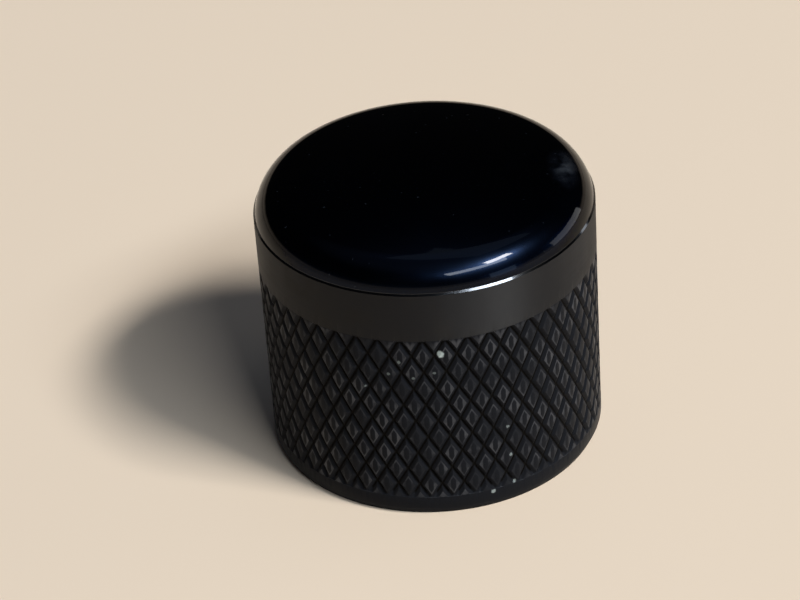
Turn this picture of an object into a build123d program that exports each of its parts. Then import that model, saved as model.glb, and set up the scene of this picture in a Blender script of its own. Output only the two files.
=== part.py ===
from build123d import *
from math import atan, cos, degrees, pi, radians, sin, sqrt, tan
import os

# Dome knob for a 6 mm potentiometer shaft: a turned and knurled metal body,
# clamped on the shaft by one socket set screw that comes in from the back.
# Millimetres. The shaft axis is Z, the origin is the centre of the base,
# and the set screw lies along +Y.

# Outside of the body
knob_diameter = 19.0
knob_height = 17.0
crown_radius = 43.5
shoulder_radius = 1.9
shoulder_lean = 9.0  # degrees off upright where the dome leaves the band
edge_break = 0.06
base_chamfer_width = 0.2
base_chamfer_height = 0.4
plain_band = 3.0  # smooth band between the dome and the knurl
base_rim = 1.2  # smooth rim under the knurl

# Diamond knurl
knurl_count = 48
knurl_angle = 30.0  # degrees between a groove and the shaft axis
knurl_depth = 0.2
groove_width = 0.42
knurl_sink = 0.01  # pad tips lie this far inside the plain band
knurl_wall = 1.0  # metal behind the grooves in the knurled ring

# Underside
nut_recess_diameter = 14.0
nut_recess_depth = 2.4
bore_diameter = 6.1
bore_top = 12.4
bore_lead_in = 0.3
drill_point = 118.0  # degrees

# Set screw and its tapped hole
screw_diameter = 3.0
screw_length = 5.0
screw_height = 6.0
screw_chamfer = 0.3
cup_diameter = 1.4
cup_angle = 120.0  # degrees
socket_across_flats = 1.5
socket_depth = 2.0
thread_clearance = 0.03
hole_countersink = 0.25
tip_gap = 0.2  # screw point to bore wall, with no shaft fitted

# Sizes that follow from the ones above
body_radius = knob_diameter / 2
bore_radius = bore_diameter / 2
screw_radius = screw_diameter / 2
hole_radius = screw_radius + thread_clearance

dome_radius = body_radius - edge_break
shoulder_centre = dome_radius - shoulder_radius * cos(radians(shoulder_lean))
crown_offset = sqrt((crown_radius - shoulder_radius) ** 2 - shoulder_centre**2)
shoulder_centre_height = knob_height - crown_radius + crown_offset
shoulder_end = degrees(atan(crown_offset / shoulder_centre))
edge_height = shoulder_centre_height + shoulder_radius * sin(radians(shoulder_lean))

knurl_top = edge_height - plain_band
knurl_bottom = base_rim
knurl_height = knurl_top - knurl_bottom
sector_angle = 360 / knurl_count
knurl_pitch = 2 * pi * body_radius / knurl_count
row_spacing = knurl_pitch / tan(radians(knurl_angle)) / 2
groove_radius = body_radius - knurl_depth
crest_share = 1 - groove_width / (knurl_pitch * cos(radians(knurl_angle)))
ring_inner_radius = groove_radius - knurl_wall
core_radius = groove_radius - knurl_wall / 2


def on_circle(radius, angle):
    """Point of the XY plane at a radius and an angle in degrees."""
    return (radius * cos(radians(angle)), radius * sin(radians(angle)))


def turned_blank():
    """Body as turned, with the knurled stretch relieved down to its core."""
    side = Polyline(
        (0, knob_height),
        (0, 0),
        (body_radius - base_chamfer_width, 0),
        (body_radius, base_chamfer_height),
        (body_radius, knurl_bottom),
        (core_radius, knurl_bottom),
        (core_radius, knurl_top),
        (body_radius, knurl_top),
        (body_radius, edge_height - edge_break),
        (dome_radius, edge_height),
    )
    shoulder = CenterArc(
        (shoulder_centre, shoulder_centre_height),
        shoulder_radius,
        shoulder_lean,
        shoulder_end - shoulder_lean,
    )
    crown = CenterArc(
        (0, knob_height - crown_radius), crown_radius, shoulder_end, 90 - shoulder_end
    )
    outline = make_face([side, shoulder, crown])
    return revolve(Plane.XZ * outline, Axis.Z)


def knurl_pad():
    """One flat-topped diamond at the +X side, its foot on the groove bottoms."""
    side_x, side_y = on_circle(groove_radius, sector_angle / 2)
    foot = [
        (side_x, side_y, 0),
        (groove_radius, 0, row_spacing),
        (side_x, -side_y, 0),
        (groove_radius, 0, -row_spacing),
    ]
    tip_radius = body_radius - knurl_sink
    crest = [
        (tip_radius - crest_share * (groove_radius - x), crest_share * y, crest_share * z)
        for x, y, z in foot
    ]
    return ConvexPolyhedron(foot + crest)


def knurl_sector():
    """Slice of the knurled ring one pitch wide, with staggered rows of pads."""
    half = sector_angle / 2
    slice_outline = Polygon(
        on_circle(ring_inner_radius, -half),
        on_circle(groove_radius, -half),
        on_circle(groove_radius, 0),
        on_circle(groove_radius, half),
        on_circle(ring_inner_radius, half),
        on_circle(ring_inner_radius, 0),
        align=None,
    )
    core = Pos(0, 0, knurl_bottom) * extrude(slice_outline, knurl_height)
    pad = knurl_pad()
    pads = []
    row = 0
    while row * row_spacing < knurl_height + row_spacing:
        height = knurl_top - row * row_spacing
        turns = [0] if row % 2 == 0 else [-half, half]
        pads += [Pos(0, 0, height) * Rot(0, 0, turn) * pad for turn in turns]
        row += 1
    limit_outline = Polygon(
        (0, 0),
        on_circle(knob_diameter, -half),
        on_circle(knob_diameter, half),
        align=None,
    )
    limit = Pos(0, 0, knurl_bottom) * extrude(limit_outline, knurl_height)
    return core.fuse(*pads) & limit


def knurled_ring():
    """Sectors set side by side all the way round."""
    sector = knurl_sector().solid()
    slices = [place * sector for place in PolarLocations(0, knurl_count)]
    return slices[0].fuse(*slices[1:])


def shaft_bore():
    """Cutter for the nut recess, the lead-in and the drilled bore."""
    lead_in_radius = bore_radius + bore_lead_in
    drill_tip = bore_top + bore_radius / tan(radians(drill_point / 2))
    outline = Polygon(
        (0, 0),
        (nut_recess_diameter / 2, 0),
        (nut_recess_diameter / 2, nut_recess_depth),
        (lead_in_radius, nut_recess_depth),
        (bore_radius, nut_recess_depth + bore_lead_in),
        (bore_radius, bore_top),
        (0, drill_tip),
        align=None,
    )
    return revolve(Plane.XZ * outline, Axis.Z)


def screw_axis(distance):
    """Plane square to the set screw, at a distance from the shaft axis."""
    return Plane(origin=(0, distance, screw_height), x_dir=(1, 0, 0), z_dir=(0, 1, 0))


def screw_hole():
    """Cutter for the tapped hole with its countersunk mouth."""
    outline = Polygon(
        (0, 0),
        (hole_radius, 0),
        (hole_radius, body_radius - hole_countersink),
        (hole_radius + 2 * hole_countersink, body_radius + hole_countersink),
        (0, body_radius + hole_countersink),
        align=None,
    )
    return screw_axis(0) * revolve(Plane.XZ * outline, Axis.Z)


def knob_body():
    """The whole turned, knurled, bored and tapped body."""
    return turned_blank() + knurled_ring() - [shaft_bore(), screw_hole()]


def set_screw():
    """Cup-point set screw with a hexagon socket, its point towards the bore."""
    cup_radius = cup_diameter / 2
    outline = Polygon(
        (0, cup_radius / tan(radians(cup_angle / 2))),
        (cup_radius, 0),
        (screw_radius, screw_radius - cup_radius),
        (screw_radius, screw_length - screw_chamfer),
        (screw_radius - screw_chamfer, screw_length),
        (0, screw_length),
        align=None,
    )
    shank = revolve(Plane.XZ * outline, Axis.Z)
    hexagon = RegularPolygon(socket_across_flats / 2, 6, major_radius=False)
    socket = Pos(0, 0, screw_length - socket_depth) * extrude(hexagon, socket_depth)
    screw = shank - socket
    return screw_axis(bore_radius + tip_gap) * screw


os.makedirs("parts", exist_ok=True)
export_step(knob_body(), "parts/knob_body.step")
export_step(set_screw(), "parts/set_screw.step")
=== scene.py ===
"""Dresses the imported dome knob: a turned, knurled and black plated body with its socket set screw."""

import math

import bmesh
import bpy
from mathutils import Matrix, Vector


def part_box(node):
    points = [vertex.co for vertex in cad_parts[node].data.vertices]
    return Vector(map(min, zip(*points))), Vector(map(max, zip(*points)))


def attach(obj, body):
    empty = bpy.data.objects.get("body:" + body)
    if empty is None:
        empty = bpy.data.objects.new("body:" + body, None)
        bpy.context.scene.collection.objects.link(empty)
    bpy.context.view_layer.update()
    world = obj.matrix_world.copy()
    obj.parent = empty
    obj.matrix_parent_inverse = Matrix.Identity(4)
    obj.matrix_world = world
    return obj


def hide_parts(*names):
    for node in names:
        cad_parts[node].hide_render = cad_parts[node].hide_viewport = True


bl_info = {
    "name": "Dome knob dresser",
    "version": (1, 0, 0),
    "blender": (4, 5, 0),
    "location": "3D View > Sidebar > Knob",
    "description": "Builds the visible body, set screw and stage of a knurled dome knob",
    "category": "Object",
}

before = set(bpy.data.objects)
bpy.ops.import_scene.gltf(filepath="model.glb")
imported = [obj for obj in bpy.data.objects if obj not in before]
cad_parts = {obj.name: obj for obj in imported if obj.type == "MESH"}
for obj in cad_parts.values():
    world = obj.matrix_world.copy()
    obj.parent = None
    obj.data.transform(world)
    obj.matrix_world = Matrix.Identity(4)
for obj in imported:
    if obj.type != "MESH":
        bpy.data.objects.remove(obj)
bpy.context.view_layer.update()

MM = 0.001
FULL_TURN = 2 * math.pi
BODY_LOW, BODY_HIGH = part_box("knob_body")
BODY_RADIUS = (BODY_HIGH.x - BODY_LOW.x) / 2
BODY_HEIGHT = BODY_HIGH.z - BODY_LOW.z
SCREW_LOW, SCREW_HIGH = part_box("set_screw")
SCREW_RADIUS = (SCREW_HIGH.x - SCREW_LOW.x) / 2
SCREW_HEIGHT = (SCREW_HIGH.z + SCREW_LOW.z) / 2
SCREW_LENGTH = SCREW_HIGH.y - SCREW_LOW.y

# Angles between faces from which an edge stays sharp, on the body and elsewhere
BODY_SHARP_EDGE = math.radians(28)
SHARP_EDGE = math.radians(30)
# Corners closer than this are one, edges shorter than this are closed, and
# folded slivers smaller than this area go
WELD_DISTANCE = 2e-7
SHORT_EDGE = 5e-7
FIN_AREA = 1e-12
# How far off a cutting plane a corner still counts as on it
PLANE_TOLERANCE = 1e-9
CAP_TOLERANCE = 1e-8
RIM_TOLERANCE = 0.0005 * MM
# How far a cutter reaches out of the metal, and how much is trimmed off its ends
CUT_OVERRUN = 0.5 * MM
END_TRIM = 0.01 * MM
# Segments round the threads, the countersink and the cup
THREAD_SEGMENTS = 72
COUNTERSINK_SEGMENTS = 64
CUP_SEGMENTS = 48


def length(name, description, default):
    """A length property in metres."""
    return bpy.props.FloatProperty(
        name=name,
        description=description,
        default=default,
        min=0.0,
        precision=6,
        subtype="DISTANCE",
        unit="LENGTH",
    )


def angle(name, description, degrees):
    """An angle property, given in degrees."""
    return bpy.props.FloatProperty(
        name=name,
        description=description,
        default=math.radians(degrees),
        subtype="ANGLE",
        unit="ROTATION",
    )


def number(name, description, default):
    """A plain number property."""
    return bpy.props.FloatProperty(name=name, description=description, default=default)


def colour(name, description, default):
    """A linear colour property."""
    return bpy.props.FloatVectorProperty(
        name=name,
        description=description,
        default=default,
        size=3,
        min=0.0,
        max=1.0,
        subtype="COLOR",
    )


class BodySizes(bpy.types.PropertyGroup):
    """Turned form of the knob body."""

    crown_radius: length("Crown radius", "Radius of the shallow top of the dome", 43.5 * MM)
    shoulder_radius: length("Shoulder radius", "Radius round the dome's edge", 1.9 * MM)
    shoulder_lean: angle("Shoulder lean", "Slope off upright where the dome leaves the band", 9)
    edge_break: length("Edge break", "Width of the bevel between the band and the dome", 0.09 * MM)
    edge_tilt: angle("Edge tilt", "How far the bevel faces upward", 41.5)
    plain_band: length("Plain band", "Smooth band between the dome and the knurl", 3.0 * MM)
    base_rim: length("Base rim", "Smooth rim under the knurl", 1.2 * MM)
    chamfer_width: length("Chamfer width", "Width of the chamfer round the base", 0.2 * MM)
    chamfer_height: length("Chamfer height", "Height of the chamfer round the base", 0.4 * MM)
    recess_radius: length("Recess radius", "Radius of the nut recess", 7.0 * MM)
    recess_depth: length("Recess depth", "Depth of the nut recess", 2.4 * MM)
    bore_radius: length("Bore radius", "Radius of the shaft bore", 3.05 * MM)
    bore_top: length("Bore top", "Height where the straight bore ends", 12.4 * MM)
    bore_lead_in: length("Lead-in", "Bevel at the mouth of the bore", 0.3 * MM)
    drill_point: angle("Drill point", "Angle of the drilled cone at the bore's end", 118)
    countersink: length("Countersink", "Bevel at the mouth of the tapped hole", 0.25 * MM)


class KnurlSizes(bpy.types.PropertyGroup):
    """Diamond knurl round the body."""

    count: bpy.props.IntProperty(
        name="Grooves", description="Grooves of each hand round the body", default=48, min=12
    )
    lay: angle("Lay", "Angle between a groove and the shaft axis", 30)
    depth: length("Depth", "Depth of the grooves", 0.2 * MM)
    groove_width: length("Groove width", "Width of a groove at the crests", 0.42 * MM)
    sink: length("Sink", "How far the crests lie inside the plain band", 0.004 * MM)
    hollow: length("Hollow", "Dip left in the middle of each diamond", 0.035 * MM)
    run_out: length("Run-out", "Height over which the grooves fade at the ends", 0.22 * MM)


class ScrewSizes(bpy.types.PropertyGroup):
    """Cup-point socket set screw and the thread that it shares with its hole."""

    pitch: length("Thread pitch", "Rise of the thread in one turn", 0.5 * MM)
    thread_depth: length("Thread depth", "Depth of the thread", 0.26 * MM)
    hole_clearance: length("Hole clearance", "Gap between the screw and its hole", 0.03 * MM)
    chamfer: length("Chamfer", "Bevel at the socket end", 0.3 * MM)
    cup_radius: length("Cup radius", "Radius of the cup point's rim", 0.7 * MM)
    cup_angle: angle("Cup angle", "Angle of the cup", 120)
    across_flats: length("Across flats", "Width of the hexagon socket", 1.5 * MM)
    socket_depth: length("Socket depth", "Depth of the hexagon socket", 2.0 * MM)
    socket_bevel: length("Socket bevel", "Bevel at the mouth of the socket", 0.08 * MM)


class Finishes(bpy.types.PropertyGroup):
    """Colours of the plating, the screw, what wear has left on them, and grime with painted shade in
    the knurl's grooves.
    """

    mirror: colour("Mirror plating", "Bright black plating on the dome", (0.0026, 0.0050, 0.0120))
    edge: colour("Edge wear", "Rubbed plating on the bevel round the dome", (0.075, 0.080, 0.088))
    smudge: colour("Smudges", "Finger marks and dust on the dome", (0.034, 0.040, 0.048))
    satin: colour("Satin plating", "Turned black plating on the band", (0.006, 0.0063, 0.0075))
    rubbed: colour("Band wear", "Plating rubbed in patches on the band", (0.020, 0.018, 0.015))
    crest: colour("Knurl crests", "Plating on the tops of the knurl", (0.0092, 0.0102, 0.0128))
    worn: colour("Knurl wear", "Plating rubbed on the lips of the diamonds", (0.100, 0.106, 0.120))
    # Knurl grooves: grime together with painted shade, a dark colour that stands in for the shade in
    # the floor of each groove
    groove: colour("Knurl grooves", "Grime in the knurl's grooves", (0.0035, 0.0030, 0.0024))
    inside: colour("Underside", "Thin dull plating inside and underneath", (0.03, 0.028, 0.026))
    brass: colour("Brass", "Brass that shows through the thin plating inside", (0.11, 0.085, 0.05))
    chip: colour("Chips", "Pale specks where the plating is chipped", (0.34, 0.40, 0.40))
    screw: colour("Set screw", "Black oxide on the set screw", (0.05, 0.05, 0.054))
    screw_wear: colour("Screw wear", "Steel where the oxide is rubbed", (0.13, 0.13, 0.135))


class StageSettings(bpy.types.PropertyGroup):
    """Floor, lights and camera."""

    floor: colour("Floor", "Pale floor", (0.70, 0.59, 0.47))
    floor_size: length("Floor size", "Side of the floor", 4.0)
    horizon: colour("Horizon", "Pale wall seen low down all round", (0.60, 0.50, 0.40))
    dusk: colour("Upper wall", "Dim part of the room above the horizon", (0.012, 0.012, 0.013))
    ceiling: colour("Ceiling", "Cool light from the ceiling", (0.08, 0.10, 0.14))
    camera_distance: length("Camera distance", "From the base centre to the lens", 174.7 * MM)
    camera_elevation: angle("Camera elevation", "Angle of the camera above the floor", 36.2)
    camera_yaw: angle("Camera yaw", "Turn off the base centre, sideways", 0.58)
    camera_pitch: angle("Camera pitch", "Turn off the base centre, upwards", 2.2)
    camera_roll: angle("Camera roll", "Turn about the line of sight", 3.7)
    focal_pixels: number("Focal length", "Focal length in pixels of an 800 wide picture", 3000)
    picture_width: number("Picture width", "Width of the picture in pixels", 800)


class Value:
    """A shader socket that takes part in Python sums."""

    def __init__(self, sheet, socket):
        self.sheet = sheet
        self.socket = socket

    def _with(self, operation, other, swapped=False):
        pair = (other, self) if swapped else (self, other)
        return self.sheet.node("ShaderNodeMath", {"operation": operation}, *pair)

    def __add__(self, other):
        return self._with("ADD", other)

    __radd__ = __add__

    def __sub__(self, other):
        return self._with("SUBTRACT", other)

    def __rsub__(self, other):
        return self._with("SUBTRACT", other, swapped=True)

    def __mul__(self, other):
        return self._with("MULTIPLY", other)

    __rmul__ = __mul__

    def __pow__(self, other):
        return self._with("POWER", other)

    def at_least(self, other):
        return self._with("MAXIMUM", other)

    def at_most(self, other):
        return self._with("MINIMUM", other)


class Sheet:
    """One material's or world's node tree, filled through short calls."""

    def __init__(self, tree):
        self.tree = tree
        tree.nodes.clear()

    def node(self, kind, settings=None, *inputs, output=0, **named):
        """Adds a node, sets it, feeds its sockets and returns one output as a Value."""
        made = self.tree.nodes.new(kind)
        for key, setting in (settings or {}).items():
            if key == "stops":
                self._set_stops(made.color_ramp, setting)
            else:
                setattr(made, key, setting)
        for index, fed in enumerate(inputs):
            self._feed(made.inputs[index], fed)
        for name, fed in named.items():
            self._feed(made.inputs[name.replace("_", " ")], fed)
        return Value(self, made.outputs[output]) if len(made.outputs) else None

    def _feed(self, socket, fed):
        if isinstance(fed, Value):
            self.tree.links.new(fed.socket, socket)
        elif fed is not None:
            socket.default_value = fed

    def _set_stops(self, ramp, stops):
        while len(ramp.elements) < len(stops):
            ramp.elements.new(0.5)
        for element, (place, shade) in zip(ramp.elements, stops):
            element.position = place
            element.color = (*shade, 1.0)

    def place(self):
        """The point in the object's own frame, in metres."""
        return self.node("ShaderNodeTexCoord", output="Object")

    def axes(self, vector):
        """The three parts of a vector as Values."""
        parts = self.node("ShaderNodeSeparateXYZ", None, vector)
        outputs = parts.socket.node.outputs
        return [Value(self, outputs[index]) for index in range(3)]

    def vector(self, operation, first, second, output=0):
        """A Vector Math node."""
        return self.node(
            "ShaderNodeVectorMath", {"operation": operation}, first, second, output=output
        )

    def noise(self, vector, scale, detail=2.0, roughness=0.5):
        """Fractal noise from 0 to 1."""
        return self.node(
            "ShaderNodeTexNoise",
            {"normalize": True},
            Vector=vector,
            Scale=scale,
            Detail=detail,
            Roughness=roughness,
        )

    def smooth(self, value, start, end):
        """0 before start, 1 after end, and a smooth rise between them."""
        return self.node(
            "ShaderNodeMapRange",
            {"interpolation_type": "SMOOTHSTEP"},
            Value=value,
            From_Min=start,
            From_Max=end,
        )

    def blend(self, factor, first, second):
        """A mix of two colours, whose sockets follow those for numbers and vectors."""
        shades = [shade if isinstance(shade, Value) else (*shade, 1.0) for shade in (first, second)]
        skipped = [None] * 5
        return self.node(
            "ShaderNodeMix", {"data_type": "RGBA"}, factor, *skipped, *shades, output=2
        )

    def bump(self, height, strength, distance, normal=None):
        """A bumped normal."""
        return self.node(
            "ShaderNodeBump", None, Height=height, Strength=strength, Distance=distance, Normal=normal
        )

    def surface(self, base, roughness, metallic=1.0, normal=None, **fixed):
        """Ends the tree in a Principled surface."""
        shader = self.node(
            "ShaderNodeBsdfPrincipled",
            None,
            Base_Color=base if isinstance(base, Value) else (*base, 1.0),
            Roughness=roughness,
            Metallic=metallic,
            Normal=normal,
            **fixed,
        )
        self.node("ShaderNodeOutputMaterial", None, shader)


def new_sheet(name):
    """A named material and its empty node sheet."""
    material = bpy.data.materials.new(name)
    material.use_nodes = True
    return material, Sheet(material.node_tree)


# Specks of chipped plating, each as its angle round the shaft axis in degrees,
# its height and radius in millimetres, and its strength
CHIPS = (
    (-88.0, 10.80, 0.26, 1.0),
    (-96.0, 10.30, 0.15, 0.3),
    (-101.5, 10.32, 0.14, 0.3),
    (-90.2, 9.60, 0.12, 0.25),
    (-92.8, 9.22, 0.13, 0.3),
    (-97.2, 9.30, 0.12, 0.25),
    (-105.5, 9.50, 0.12, 0.3),
    (-113.5, 8.45, 0.14, 0.3),
    (-72.8, 1.05, 0.17, 0.6),
    (-64.8, 1.30, 0.15, 0.5),
    (-55.5, 7.80, 0.13, 0.3),
    (-66.5, 5.15, 0.13, 0.35),
    (-65.8, 3.20, 0.14, 0.4),
)


def chip_mask(sheet, place):
    """1 on the chips of the plating and 0 elsewhere, with ragged edges."""
    ragged = (sheet.noise(place, 5200.0, 3.0) - 0.5) * (0.16 * MM)
    mask = 0.0
    for turn, height, radius, strength in CHIPS:
        around = math.radians(turn)
        centre = (
            BODY_RADIUS * math.cos(around),
            BODY_RADIUS * math.sin(around),
            height * MM,
        )
        reach = sheet.vector("DISTANCE", place, centre, output="Value") + ragged
        spot = 1.0 - sheet.smooth(reach, 0.55 * radius * MM, 0.95 * radius * MM)
        mask = (spot * strength).at_least(mask)
    return mask


def turning_lines(sheet, place):
    """Fine rings left by the lathe: noise that changes up the side and hardly round it."""
    x, y, z = sheet.axes(place)
    stretched = sheet.node("ShaderNodeCombineXYZ", None, x * 60.0, y * 60.0, z * 9000.0)
    return sheet.noise(stretched, 1.0, 3.0, 0.6)


def mirror_plating(finishes, profile):
    """Polished black plating under a clear mirror skin, with hairlines, a smudge and dust."""
    material, sheet = new_sheet("mirror_black_plating")
    place = sheet.place()
    combed = sheet.vector("MULTIPLY", place, (9000.0, 900.0, 900.0))
    hairlines = sheet.smooth(sheet.noise(combed, 1.0, 2.0), 0.66, 0.80)
    smear = sheet.smooth(sheet.noise(place, 260.0, 3.0), 0.48, 0.72)
    squeezed = sheet.vector("MULTIPLY", place, (1.0, 0.45, 1.0))
    smudge_centre = (7.8 * MM, -0.1 * MM, 16.3 * MM)
    from_smudge = sheet.vector("DISTANCE", squeezed, smudge_centre, output="Value")
    near = 1.0 - sheet.smooth(from_smudge, 0.1 * MM, 1.1 * MM)
    smudge = near * sheet.smooth(sheet.noise(place, 900.0, 3.0), 0.25, 0.80)
    dust = sheet.smooth(sheet.noise(place, 3600.0, 1.0), 0.765, 0.80)
    marked = smudge.at_least(dust * 0.5)
    tone = sheet.blend(marked, finishes.mirror, finishes.smudge)
    height = sheet.axes(place)[2]
    edged = 1.0 - sheet.smooth(height, profile.edge_z - 0.01 * MM, profile.edge_z + 0.03 * MM)
    tone = sheet.blend(edged, tone, finishes.edge)
    roughness = 0.27 + smear * 0.05 + hairlines * 0.04 + smudge * 0.25 - edged * 0.16
    ripple = sheet.noise(place, 420.0, 1.0)
    normal = sheet.bump(ripple, 0.15, 0.004 * MM)
    sheet.surface(
        tone,
        roughness,
        1.0 - marked * 0.8,
        normal,
        Coat_Weight=1.0,
        Coat_Roughness=0.045,
        Coat_IOR=1.2,
        Specular_Tint=(0.0, 0.0, 0.0, 1.0),
    )
    return material


def satin_plating(finishes):
    """Turned black plating of the plain band, rubbed a little in patches."""
    material, sheet = new_sheet("satin_black_plating")
    place = sheet.place()
    lines = turning_lines(sheet, place)
    patches = sheet.noise(place, 420.0, 4.0, 0.62)
    rubbed = sheet.smooth(patches, 0.50, 0.72)
    tone = sheet.blend(rubbed * 0.4, finishes.satin, finishes.rubbed)
    roughness = 0.46 + lines * 0.10 + rubbed * 0.06
    normal = sheet.bump(lines, 0.30, 0.004 * MM)
    normal = sheet.bump(sheet.noise(place, 5200.0, 3.0), 0.20, 0.004 * MM, normal)
    sheet.surface(
        tone,
        roughness,
        rubbed * 0.1,
        normal,
        Specular_IOR_Level=0.24,
        Anisotropic=0.9,
        Anisotropic_Rotation=0.25,
    )
    return material


def knurl_plating(finishes, knurl):
    """Black plating on the knurl: brighter crests, grooves darkened by grime and painted shade, and
    chipped specks.
    """
    material, sheet = new_sheet("knurl_black_plating")
    place = sheet.place()
    x, y, z = sheet.axes(place)
    radius = (x * x + y * y) ** 0.5
    root = BODY_RADIUS - knurl.depth
    # Painted shade: the floor of each groove takes the dark groove colour, for grime and for the shade
    # that falls there
    raised = sheet.smooth(radius, root + 0.04 * knurl.depth, root + 0.42 * knurl.depth)
    edged = sheet.smooth(radius, BODY_RADIUS - 0.014 * MM, BODY_RADIUS - 0.006 * MM)
    edged = edged * sheet.smooth(BODY_RADIUS - radius, 0.001 * MM, 0.003 * MM)
    patches = sheet.noise(place, 520.0, 4.0, 0.6)
    grain = sheet.noise(place, 6500.0, 3.0, 0.6)
    handled = edged * (0.1 + 0.9 * sheet.smooth(patches, 0.42, 0.66))
    tone = sheet.blend(raised, finishes.groove, finishes.crest)
    tone = sheet.blend(handled * 0.5, tone, finishes.worn)
    chipped = chip_mask(sheet, place)
    tone = sheet.blend(chipped, tone, finishes.chip)
    roughness = 0.54 - raised * 0.22 + grain * 0.10 + chipped * 0.2
    metallic = (0.12 + handled * 0.3) * (1.0 - chipped)
    pebbles = sheet.noise(place, 2300.0, 2.0)
    normal = sheet.bump(pebbles, 0.35, 0.03 * MM)
    normal = sheet.bump(grain, 0.50, 0.012 * MM, normal)
    sheet.surface(tone, roughness.at_most(0.9), metallic, normal, Specular_IOR_Level=0.025)
    return material


def inside_plating(finishes):
    """Thin dull plating underneath, in the recess and in the bore, with tool marks."""
    material, sheet = new_sheet("inside_black_plating")
    place = sheet.place()
    x, y, z = sheet.axes(place)
    radius = (x * x + y * y) ** 0.5
    stretched = sheet.node("ShaderNodeCombineXYZ", None, radius * 7000.0, z * 5000.0, 0.0)
    rings = sheet.noise(stretched, 1.0, 2.0)
    worn = sheet.smooth(sheet.noise(place, 600.0, 4.0, 0.6), 0.52, 0.75)
    tone = sheet.blend(worn * 0.3, finishes.inside, finishes.brass)
    roughness = 0.34 + rings * 0.16 + worn * 0.08
    normal = sheet.bump(rings, 0.4, 0.006 * MM)
    sheet.surface(tone, roughness, normal=normal)
    return material


def screw_oxide(finishes):
    """Dull black oxide of the set screw, rubbed bright in patches."""
    material, sheet = new_sheet("screw_black_oxide")
    place = sheet.place()
    grain = sheet.noise(place, 4200.0, 3.0)
    rubbed = sheet.smooth(sheet.noise(place, 1500.0, 3.0), 0.52, 0.74)
    tone = sheet.blend(rubbed * 0.6, finishes.screw, finishes.screw_wear)
    roughness = 0.36 + grain * 0.16
    normal = sheet.bump(grain, 0.35, 0.006 * MM)
    sheet.surface(tone, roughness, normal=normal)
    return material


def finish_mesh(name, bm, sharp_angle=SHARP_EDGE):
    """Turns a bmesh into a linked object, smooth but for its sharp edges."""
    bmesh.ops.recalc_face_normals(bm, faces=bm.faces)
    for edge in bm.edges:
        edge.smooth = len(edge.link_faces) == 2 and edge.calc_face_angle() < sharp_angle
    for face in bm.faces:
        face.smooth = True
    mesh = bpy.data.meshes.new(name)
    bm.to_mesh(mesh)
    bm.free()
    piece = bpy.data.objects.new(name, mesh)
    bpy.context.scene.collection.objects.link(piece)
    return piece


def weld(piece, name, sharp_angle=SHARP_EDGE):
    """Clears the slivers that cutting leaves, triangulates big faces and renames the piece."""
    bm = bmesh.new()
    bm.from_mesh(piece.data)
    bmesh.ops.remove_doubles(bm, verts=bm.verts, dist=WELD_DISTANCE)
    bmesh.ops.dissolve_degenerate(bm, dist=SHORT_EDGE, edges=bm.edges)
    bmesh.ops.triangulate(bm, faces=[face for face in bm.faces if len(face.verts) > 4])
    crowded = [edge for edge in bm.edges if len(edge.link_faces) > 2]
    fins = {face for edge in crowded for face in edge.link_faces if face.calc_area() < FIN_AREA}
    bmesh.ops.delete(bm, geom=list(fins), context="FACES")
    bpy.data.objects.remove(piece)
    return finish_mesh(name, bm, sharp_angle)


def subtract(piece, cutter):
    """Cuts one closed mesh from another and removes the cutter."""
    modifier = piece.modifiers.new("cut", "BOOLEAN")
    modifier.operation = "DIFFERENCE"
    modifier.solver = "EXACT"
    modifier.object = cutter
    graph = bpy.context.evaluated_depsgraph_get()
    cut = bpy.data.meshes.new_from_object(piece.evaluated_get(graph))
    piece.modifiers.remove(modifier)
    old = piece.data
    piece.data = cut
    bpy.data.meshes.remove(old)
    bpy.data.objects.remove(cutter)


def arc(centre, radius, start, end, steps):
    """Points of an arc in the radius and height plane, both ends included."""
    points = []
    for index in range(steps + 1):
        turn = start + (end - start) * index / steps
        points.append((centre[0] + radius * math.cos(turn), centre[1] + radius * math.sin(turn)))
    return points


def stretch(start, end, steps):
    """Points of a straight stretch, without its first one."""
    return [
        tuple(a + (b - a) * (index + 1) / steps for a, b in zip(start, end))
        for index in range(steps)
    ]


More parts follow.
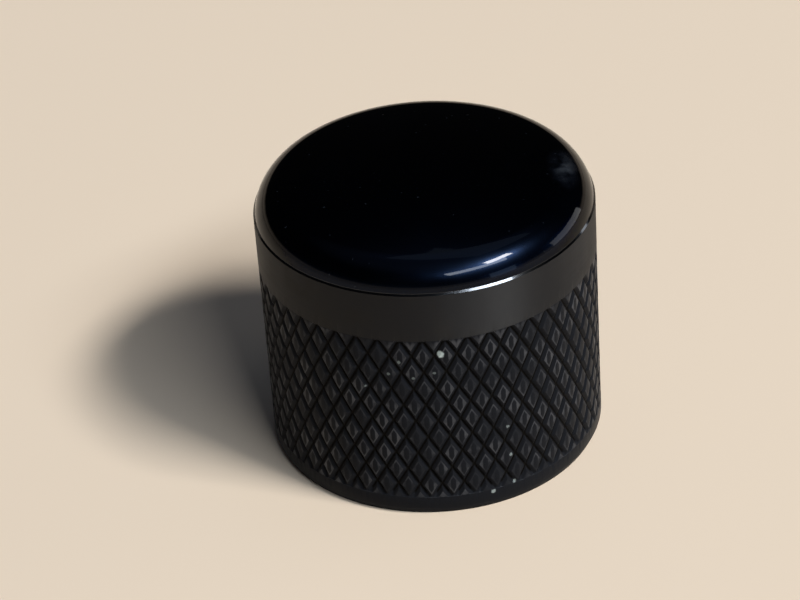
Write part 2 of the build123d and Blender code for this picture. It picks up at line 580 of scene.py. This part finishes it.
class BodyProfile:
    """Turned outline of the body, worked out from its sizes."""

    # Steps along the stretches of the outline that need more than one
    band_steps = 4
    edge_steps = 2
    shoulder_steps = 18
    crown_steps = 12
    bore_steps = 3
    tip_steps = 2
    # Share of the bore's radius at which the drilled cone closes to a point, and
    # how far below the knurl the first ring of the rim lies
    tip_share = 0.25
    rim_step = 0.02 * MM

    def __init__(self, body):
        self.body = body
        foot_radius = BODY_RADIUS - body.edge_break
        self.shoulder_x = foot_radius - body.shoulder_radius * math.cos(body.shoulder_lean)
        reach = body.crown_radius - body.shoulder_radius
        offset = math.sqrt(reach**2 - self.shoulder_x**2)
        self.crown_z = BODY_HEIGHT - body.crown_radius
        self.shoulder_z = self.crown_z + offset
        self.shoulder_end = math.atan2(offset, self.shoulder_x)
        self.edge_z = self.shoulder_z + body.shoulder_radius * math.sin(body.shoulder_lean)
        self.band_top = self.edge_z - body.edge_break / math.tan(body.edge_tilt)
        self.knurl_top = self.edge_z - body.plain_band
        self.knurl_bottom = body.base_rim
        self.tip_rise = body.bore_radius / math.tan(body.drill_point / 2)
        self.drill_tip = body.bore_top + self.tip_rise

    def above_knurl(self):
        """From the top of the knurl over the band and the dome, without the pole."""
        body = self.body
        band_top = (BODY_RADIUS, self.band_top)
        corner = (BODY_RADIUS - body.edge_break, self.edge_z)
        points = stretch((BODY_RADIUS, self.knurl_top), band_top, self.band_steps)
        points += stretch(band_top, corner, self.edge_steps)
        points += arc(
            (self.shoulder_x, self.shoulder_z),
            body.shoulder_radius,
            body.shoulder_lean,
            self.shoulder_end,
            self.shoulder_steps,
        )[1:]
        points += arc(
            (0.0, self.crown_z),
            body.crown_radius,
            self.shoulder_end,
            math.pi / 2,
            self.crown_steps,
        )[1:-1]
        return points

    def below_knurl(self):
        """From the foot of the knurl round the base and up the bore, without the tip."""
        body = self.body
        near_tip = (
            body.bore_radius * self.tip_share,
            self.drill_tip - self.tip_rise * self.tip_share,
        )
        points = [(BODY_RADIUS, self.knurl_bottom - self.rim_step)]
        for corner, steps in (
            ((BODY_RADIUS, body.chamfer_height), 1),
            ((BODY_RADIUS - body.chamfer_width, 0.0), 1),
            ((body.recess_radius, 0.0), 1),
            ((body.recess_radius, body.recess_depth), 1),
            ((body.bore_radius + body.bore_lead_in, body.recess_depth), 1),
            ((body.bore_radius, body.recess_depth + body.bore_lead_in), 1),
            ((body.bore_radius, body.bore_top), self.bore_steps),
            (near_tip, self.tip_steps),
        ):
            points += stretch(points[-1], corner, steps)
        return points


class KnurlGrid:
    """Grid laid along both hands of grooves, so that every groove has clean edges."""

    # Where a groove's round floor, straight wall and round lip end, and a line
    # part way up the wall, as shares of half its width
    floor_end = 0.16
    wall_line = 0.60
    wall_end = 0.90
    lip_end = 1.12

    def __init__(self, knurl, profile):
        self.knurl = knurl
        self.profile = profile
        self.height = profile.knurl_top - profile.knurl_bottom
        pitch = FULL_TURN * BODY_RADIUS / knurl.count
        self.rise = pitch / math.tan(knurl.lay)
        self.across = pitch * math.cos(knurl.lay)
        half = knurl.groove_width / 2 / self.across
        shares = (0.0, self.floor_end, self.wall_line, self.wall_end, self.lip_end)
        near = [half * share for share in shares]
        self.lip = 0.5 - near[-1]
        self.stations = [-0.5 + place for place in near]
        self.stations += [0.0]
        self.stations += [0.5 - place for place in reversed(near[1:])]
        self.steps = len(self.stations)

    def station(self, index):
        """Place of a grid line, in pitches."""
        return index // self.steps + self.stations[index % self.steps]

    def groove(self, place):
        """Share of the full depth at a place across the grooves of one hand."""
        from_groove = abs(abs(place - round(place)) - 0.5) * self.across
        share = from_groove / (self.knurl.groove_width / 2)
        if share < self.floor_end:
            return 1.0 - self.floor_end / 2 - share**2 / (2 * self.floor_end)
        if share < self.wall_end:
            return 1.0 - share
        if share < self.lip_end:
            left = (self.lip_end - share) / (self.lip_end - self.wall_end)
            return (1.0 - self.wall_end) * left**2
        return 0.0

    def hollow(self, place):
        """Share of the dip in a diamond's middle at a place across it."""
        return max(0.0, 1 - ((place - round(place)) / self.lip) ** 2)

    def point(self, a, b):
        """Surface point where two grid lines cross."""
        u, v = self.station(a), self.station(b)
        turn = (u + v) / 2 * FULL_TURN / self.knurl.count
        down = (u - v) / 2 * self.rise
        height = self.profile.knurl_top - down
        depth = max(self.groove(u), self.groove(v)) * self.knurl.depth
        depth += self.hollow(u) * self.hollow(v) * self.knurl.hollow
        ends = min(down, self.height - down)
        fade = max(0.0, min(1.0, ends / self.knurl.run_out))
        inset = min(1.0, fade * 2) * self.knurl.sink
        radius = BODY_RADIUS - inset - depth * fade * (2 - fade)
        return (radius * math.cos(turn), radius * math.sin(turn), height)

    def skin(self):
        """Mesh of the knurled stretch, and a little of the rim to be trimmed off below."""
        around = self.knurl.count * self.steps
        rows = int(math.ceil(2 * self.height / self.rise * self.steps)) + 2 * self.steps
        bm = bmesh.new()
        grid = {}
        for a in range(around):
            for row in range(rows):
                grid[a, row] = bm.verts.new(self.point(a, a - row))
        for a in range(around):
            after = (a + 1) % around
            bm.faces.new((grid[a, 0], grid[after, 0], grid[after, 1]))
            for row in range(rows - 2):
                bm.faces.new(
                    (grid[a, row], grid[after, row + 1], grid[after, row + 2], grid[a, row + 1])
                )
        return bm


def by_turn(vertex):
    """Angle of a vertex round the shaft axis."""
    return math.atan2(vertex.co.y, vertex.co.x)


def circle(bm, radius, height, turns):
    """Ring of vertices round Z, one at each angle."""
    return [
        bm.verts.new((radius * math.cos(turn), radius * math.sin(turn), height)) for turn in turns
    ]


def bridge(bm, lower, upper):
    """Band of faces between two rings."""
    for index in range(len(lower)):
        after = (index + 1) % len(lower)
        bm.faces.new((lower[index], lower[after], upper[after], upper[index]))


def close_ring(bm, ring, height):
    """Fan of faces from a ring to a point on the axis."""
    tip = bm.verts.new((0.0, 0.0, height))
    for index in range(len(ring)):
        bm.faces.new((ring[index], ring[(index + 1) % len(ring)], tip))


def grow_rings(bm, rim, points, pole):
    """Carries a rim of vertices along an outline of radius and height, and closes it at a pole."""
    turns = [by_turn(vertex) for vertex in rim]
    last = rim
    for radius, height in points:
        ring = circle(bm, radius, height, turns)
        bridge(bm, last, ring)
        last = ring
    close_ring(bm, last, pole)


def rim_at(bm, height):
    """Vertices of the mesh's open edge at a height, in order round the axis."""
    rim = {
        vertex
        for edge in bm.edges
        if len(edge.link_faces) == 1
        for vertex in edge.verts
        if abs(vertex.co.z - height) < RIM_TOLERANCE
    }
    return sorted(rim, key=by_turn)


# One turn of the thread's outline: how far up the pitch each point lies, and its
# share of the thread's depth
THREAD_FORM = ((0.0, 0.0), (0.12, 0.0), (0.5, 1.0), (0.62, 1.0), (0.88, 0.2))


def helix_thread(screw, outer_radius, span):
    """Open threaded tube along Z that reaches past both ends of a span from 0."""
    bm = bmesh.new()
    per_turn = len(THREAD_FORM)
    levels = (int(math.ceil(span / screw.pitch)) + 2) * per_turn
    grid = {}
    for index in range(THREAD_SEGMENTS):
        turn = FULL_TURN * index / THREAD_SEGMENTS
        lift = screw.pitch * index / THREAD_SEGMENTS
        for level in range(levels):
            place, depth = THREAD_FORM[level % per_turn]
            height = (level // per_turn - 1 + place) * screw.pitch + lift
            radius = outer_radius - depth * screw.thread_depth
            grid[index, level] = bm.verts.new(
                (radius * math.cos(turn), radius * math.sin(turn), height)
            )
    for index in range(THREAD_SEGMENTS):
        after = (index + 1) % THREAD_SEGMENTS
        shift = per_turn if after == 0 else 0
        for level in range(levels - 1 - shift):
            bm.faces.new(
                (
                    grid[index, level],
                    grid[after, level + shift],
                    grid[after, level + shift + 1],
                    grid[index, level + 1],
                )
            )
    return bm


def trim(bm, height, direction):
    """Cuts off what lies above a height, for direction 1, or below it, for -1."""
    bmesh.ops.bisect_plane(
        bm,
        geom=bm.verts[:] + bm.edges[:] + bm.faces[:],
        dist=PLANE_TOLERANCE,
        plane_co=(0, 0, height),
        plane_no=(0, 0, direction),
        clear_outer=True,
    )


def trim_and_cap(bm, low, high):
    """Cuts a tube at two heights and closes both ends."""
    for height, direction in ((low, -1), (high, 1)):
        trim(bm, height, direction)
        cap = [
            edge
            for edge in bm.edges
            if len(edge.link_faces) == 1
            and all(abs(vertex.co.z - height) < CAP_TOLERANCE for vertex in edge.verts)
        ]
        bmesh.ops.holes_fill(bm, edges=cap)


def outline_rings(bm, outline, segments):
    """A ring of vertices round Z for each radius and height of an outline."""
    turns = [FULL_TURN * index / segments for index in range(segments)]
    return [circle(bm, radius, height, turns) for radius, height in outline]


def turned_cutter(name, outline, segments):
    """Closed solid turned about Z from an outline whose ends lie on the axis."""
    bm = bmesh.new()
    rings = outline_rings(bm, outline[1:-1], segments)
    for lower, upper in zip(rings, rings[1:]):
        bridge(bm, lower, upper)
    close_ring(bm, rings[0], outline[0][1])
    close_ring(bm, rings[-1], outline[-1][1])
    return finish_mesh(name, bm)


def ring_cutter(name, outline, segments):
    """Closed ring turned about Z from an outline that stays off the axis."""
    bm = bmesh.new()
    rings = outline_rings(bm, outline, segments)
    for lower, upper in zip(rings, rings[1:] + rings[:1]):
        bridge(bm, lower, upper)
    return finish_mesh(name, bm)


def lay_along_y(piece, start):
    """Turns a mesh made along Z to lie along +Y at the screw's height."""
    turned = Matrix.Rotation(-math.pi / 2, 4, "X")
    piece.data.transform(Matrix.Translation((0.0, start, SCREW_HEIGHT)) @ turned)


def tapped_hole_cutters(body, screw):
    """Cutters for the threaded hole and for its countersunk mouth."""
    hole_radius = SCREW_RADIUS + screw.hole_clearance
    start = body.bore_radius * 0.6  # inside the bore, clear of its wall
    mouth = BODY_RADIUS - start
    span = mouth + CUT_OVERRUN
    thread = helix_thread(screw, hole_radius, span)
    trim_and_cap(thread, END_TRIM, span - END_TRIM)
    hole = finish_mesh("hole_cutter", thread)
    sink = body.countersink
    foot = mouth - sink - 0.2 * MM  # well below the mouth, inside the hole
    outline = [
        (0.0, foot),
        (hole_radius - screw.thread_depth, foot),
        (hole_radius + 2 * sink, mouth + sink),
        (0.0, mouth + sink),
    ]
    countersink = turned_cutter("countersink_cutter", outline, COUNTERSINK_SEGMENTS)
    for cutter in (hole, countersink):
        lay_along_y(cutter, start)
    return hole, countersink


def screw_end_cutters(screw):
    """Cutters for both bevels, the cup and the hexagon socket of a screw laid along Z."""
    outside = SCREW_RADIUS + CUT_OVERRUN
    above = SCREW_LENGTH + CUT_OVERRUN
    head_bevel = [
        (SCREW_RADIUS - screw.chamfer - CUT_OVERRUN, above),
        (outside, above),
        (outside, SCREW_LENGTH - screw.chamfer - CUT_OVERRUN),
    ]
    point_bevel = [
        (screw.cup_radius - CUT_OVERRUN, -CUT_OVERRUN),
        (outside, -CUT_OVERRUN),
        (outside, SCREW_RADIUS - screw.cup_radius + CUT_OVERRUN),
    ]
    cup_depth = screw.cup_radius / math.tan(screw.cup_angle / 2)
    cup_outside = screw.cup_radius * (1 + CUT_OVERRUN / cup_depth)
    cup = [(0.0, cup_depth), (cup_outside, -CUT_OVERRUN), (0.0, -CUT_OVERRUN)]
    corner = screw.across_flats / 2 / math.cos(math.pi / 6)
    bevelled = corner + screw.socket_bevel
    floor = SCREW_LENGTH - screw.socket_depth
    floor_dip = 0.15 * MM
    floor_bevel = 0.02 * MM
    socket = [
        (0.0, floor - floor_dip),
        (corner * 0.98, floor),
        (corner, floor + floor_bevel),
        (corner, SCREW_LENGTH - screw.socket_bevel),
        (bevelled, SCREW_LENGTH),
        (bevelled * 1.02, above),
        (0.0, above),
    ]
    return (
        ring_cutter("head_bevel", head_bevel, THREAD_SEGMENTS),
        ring_cutter("point_bevel", point_bevel, THREAD_SEGMENTS),
        turned_cutter("cup_cutter", cup, CUP_SEGMENTS),
        turned_cutter("socket_cutter", socket, 6),
    )


def assign_materials(piece, profile, materials):
    """Gives each stretch of the body its own finish, by where its faces lie."""
    for material in materials:
        piece.data.materials.append(material)
    mirror, satin, knurled, inside = range(4)
    skin_radius = BODY_RADIUS - 0.5 * MM  # inside the knurl's grooves and the base chamfer
    for polygon in piece.data.polygons:
        centre = polygon.center
        if centre.z > profile.band_top:
            polygon.material_index = mirror
        elif math.hypot(centre.x, centre.y) < skin_radius:
            polygon.material_index = inside
        elif centre.z > profile.knurl_top:
            polygon.material_index = satin
        else:
            polygon.material_index = knurled


class KNOB_OT_build_body(bpy.types.Operator):
    """Build the visible knob body with its knurl, bore, recess and tapped hole"""

    bl_idname = "knob.build_body"
    bl_label = "Build knob body"

    def execute(self, context):
        scene = context.scene
        body, knurl, screw = scene.knob_body_sizes, scene.knob_knurl, scene.knob_screw
        profile = BodyProfile(body)
        bm = KnurlGrid(knurl, profile).skin()
        trim(bm, profile.knurl_bottom, -1)
        top = rim_at(bm, profile.knurl_top)
        bottom = rim_at(bm, profile.knurl_bottom)
        grow_rings(bm, top, profile.above_knurl(), BODY_HEIGHT)
        grow_rings(bm, bottom, profile.below_knurl(), profile.drill_tip)
        piece = finish_mesh("uncut_body", bm, BODY_SHARP_EDGE)
        for cutter in tapped_hole_cutters(body, screw):
            subtract(piece, cutter)
        piece = weld(piece, "dome_knob_body", BODY_SHARP_EDGE)
        finishes = scene.knob_finishes
        plating = (
            mirror_plating(finishes, profile),
            satin_plating(finishes),
            knurl_plating(finishes, knurl),
            inside_plating(finishes),
        )
        assign_materials(piece, profile, plating)
        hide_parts("knob_body")
        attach(piece, "root")
        return {"FINISHED"}


class KNOB_OT_build_set_screw(bpy.types.Operator):
    """Build the threaded socket set screw"""

    bl_idname = "knob.build_set_screw"
    bl_label = "Build set screw"

    def execute(self, context):
        scene = context.scene
        screw = scene.knob_screw
        rod = helix_thread(screw, SCREW_RADIUS, SCREW_LENGTH)
        trim_and_cap(rod, 0.0, SCREW_LENGTH)
        piece = finish_mesh("threaded_rod", rod)
        for cutter in screw_end_cutters(screw):
            subtract(piece, cutter)
        lay_along_y(piece, SCREW_LOW.y)
        piece = weld(piece, "socket_set_screw")
        piece.data.materials.append(screw_oxide(scene.knob_finishes))
        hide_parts("set_screw")
        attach(piece, "root")
        return {"FINISHED"}


def floor_material(stage):
    """Plain pale matt floor with a trace of tone."""
    material, sheet = new_sheet("pale_floor")
    place = sheet.place()
    cloud = sheet.noise(place, 30.0, 3.0)
    tone = sheet.blend(cloud * 0.25, stage.floor, tuple(part * 0.94 for part in stage.floor))
    sheet.surface(tone, 0.85, 0.0)
    return material


def make_world(stage):
    """Room seen in reflections: pale low down, dim above, with a cool ceiling."""
    world = bpy.data.worlds.new("studio_room")
    world.use_nodes = True
    bpy.context.scene.world = world
    sheet = Sheet(world.node_tree)
    direction = sheet.node("ShaderNodeTexCoord", output="Generated")
    height = sheet.axes(direction)[2]
    room = sheet.node(
        "ShaderNodeValToRGB",
        {
            "stops": (
                (0.0, tuple(stage.horizon)),
                (0.06, tuple(stage.horizon)),
                (0.14, tuple(stage.dusk)),
                (0.74, tuple(stage.dusk)),
                (0.93, tuple(stage.ceiling)),
            )
        },
        height,
    )
    light = sheet.node("ShaderNodeBackground", None, Color=room, Strength=1.0)
    sheet.node("ShaderNodeOutputWorld", None, light)


# Lamps round the knob, each as its name, its direction round the knob and its
# height in degrees, its sides in metres, its radiance and its tint
LAMPS = (
    ("main_lamp", -53, 43, (1.30, 0.275), 20.0, (0.88, 0.94, 1.0)),
    ("highlight_lamp", -31, 49, (0.55, 0.250), 90.0, (1.0, 0.97, 0.93)),
    ("side_lamp", 14, 9, (1.28, 0.480), 2.6, (0.97, 0.98, 1.0)),
    ("low_lamp", -42, 8, (0.60, 0.480), 2.2, (0.50, 0.70, 1.0)),
    ("overhead_lamp", 60, 70, (1.20, 0.90), 0.35, (0.60, 0.76, 1.0)),
)
LAMP_DISTANCE = 2.0


def place_lamp(name, azimuth, elevation, size, radiance, tint):
    """Soft rectangular lamp that looks at the middle of the knob."""
    data = bpy.data.lights.new(name, "AREA")
    data.shape = "RECTANGLE"
    data.size, data.size_y = size
    data.energy = radiance * math.pi * size[0] * size[1]
    data.color = tint
    lamp = bpy.data.objects.new(name, data)
    turn, lift = math.radians(azimuth), math.radians(elevation)
    back = Vector(
        (math.cos(turn) * math.cos(lift), math.sin(turn) * math.cos(lift), math.sin(lift))
    )
    lamp.location = Vector((0.0, 0.0, BODY_HEIGHT / 2)) + back * LAMP_DISTANCE
    lamp.rotation_mode = "QUATERNION"
    lamp.rotation_quaternion = back.to_track_quat("Z", "Y")
    bpy.context.scene.collection.objects.link(lamp)


def place_camera(stage):
    """Camera where the photograph was taken from."""
    data = bpy.data.cameras.new("photo_camera")
    data.sensor_width = 36.0
    data.lens = stage.focal_pixels / stage.picture_width * data.sensor_width
    data.clip_start, data.clip_end = 0.01, 20.0
    camera = bpy.data.objects.new("photo_camera", data)
    lift = stage.camera_elevation
    back = Vector((0.0, -math.cos(lift), math.sin(lift)))
    turned = (
        (-back).to_track_quat("-Z", "Y").to_matrix()
        @ Matrix.Rotation(stage.camera_yaw, 3, "Y")
        @ Matrix.Rotation(stage.camera_pitch, 3, "X")
        @ Matrix.Rotation(-stage.camera_roll, 3, "Z")
    )
    camera.matrix_world = Matrix.Translation(back * stage.camera_distance) @ turned.to_4x4()
    bpy.context.scene.collection.objects.link(camera)
    bpy.context.scene.camera = camera


class KNOB_OT_set_stage(bpy.types.Operator):
    """Set the floor, the lights and the camera"""

    bl_idname = "knob.set_stage"
    bl_label = "Set stage"

    def execute(self, context):
        stage = context.scene.knob_stage
        bm = bmesh.new()
        bmesh.ops.create_grid(bm, x_segments=8, y_segments=8, size=stage.floor_size / 2)
        floor = finish_mesh("floor", bm)
        floor.location.z = BODY_LOW.z
        floor.data.materials.append(floor_material(stage))
        make_world(stage)
        for lamp in LAMPS:
            place_lamp(*lamp)
        place_camera(stage)
        context.scene.view_settings.view_transform = "Standard"
        return {"FINISHED"}


class KNOB_PT_sidebar(bpy.types.Panel):
    """Sizes, finishes and the build buttons of the dome knob"""

    bl_idname = "KNOB_PT_sidebar"
    bl_label = "Dome knob"
    bl_space_type = "VIEW_3D"
    bl_region_type = "UI"
    bl_category = "Knob"

    def draw(self, context):
        layout = self.layout
        for step in STEPS:
            layout.operator(step.bl_idname)
        for group in GROUPS:
            box = layout.box()
            settings = getattr(context.scene, group)
            for name in settings.bl_rna.properties.keys():
                if name not in ("rna_type", "name"):
                    box.prop(settings, name)


GROUPS = {
    "knob_body_sizes": BodySizes,
    "knob_knurl": KnurlSizes,
    "knob_screw": ScrewSizes,
    "knob_finishes": Finishes,
    "knob_stage": StageSettings,
}
STEPS = (KNOB_OT_build_body, KNOB_OT_build_set_screw, KNOB_OT_set_stage)


def register():
    """Registers the settings, the steps and the panel."""
    for group in GROUPS.values():
        bpy.utils.register_class(group)
    for name, group in GROUPS.items():
        setattr(bpy.types.Scene, name, bpy.props.PointerProperty(type=group))
    for step in STEPS:
        bpy.utils.register_class(step)
    bpy.utils.register_class(KNOB_PT_sidebar)


def unregister():
    """Takes out what register put in."""
    bpy.utils.unregister_class(KNOB_PT_sidebar)
    for step in reversed(STEPS):
        bpy.utils.unregister_class(step)
    for name in GROUPS:
        delattr(bpy.types.Scene, name)
    for group in reversed(GROUPS.values()):
        bpy.utils.unregister_class(group)


def main():
    register()
    bpy.ops.knob.build_body()
    bpy.ops.knob.build_set_screw()
    bpy.ops.knob.set_stage()


if __name__ == "__main__":
    main()
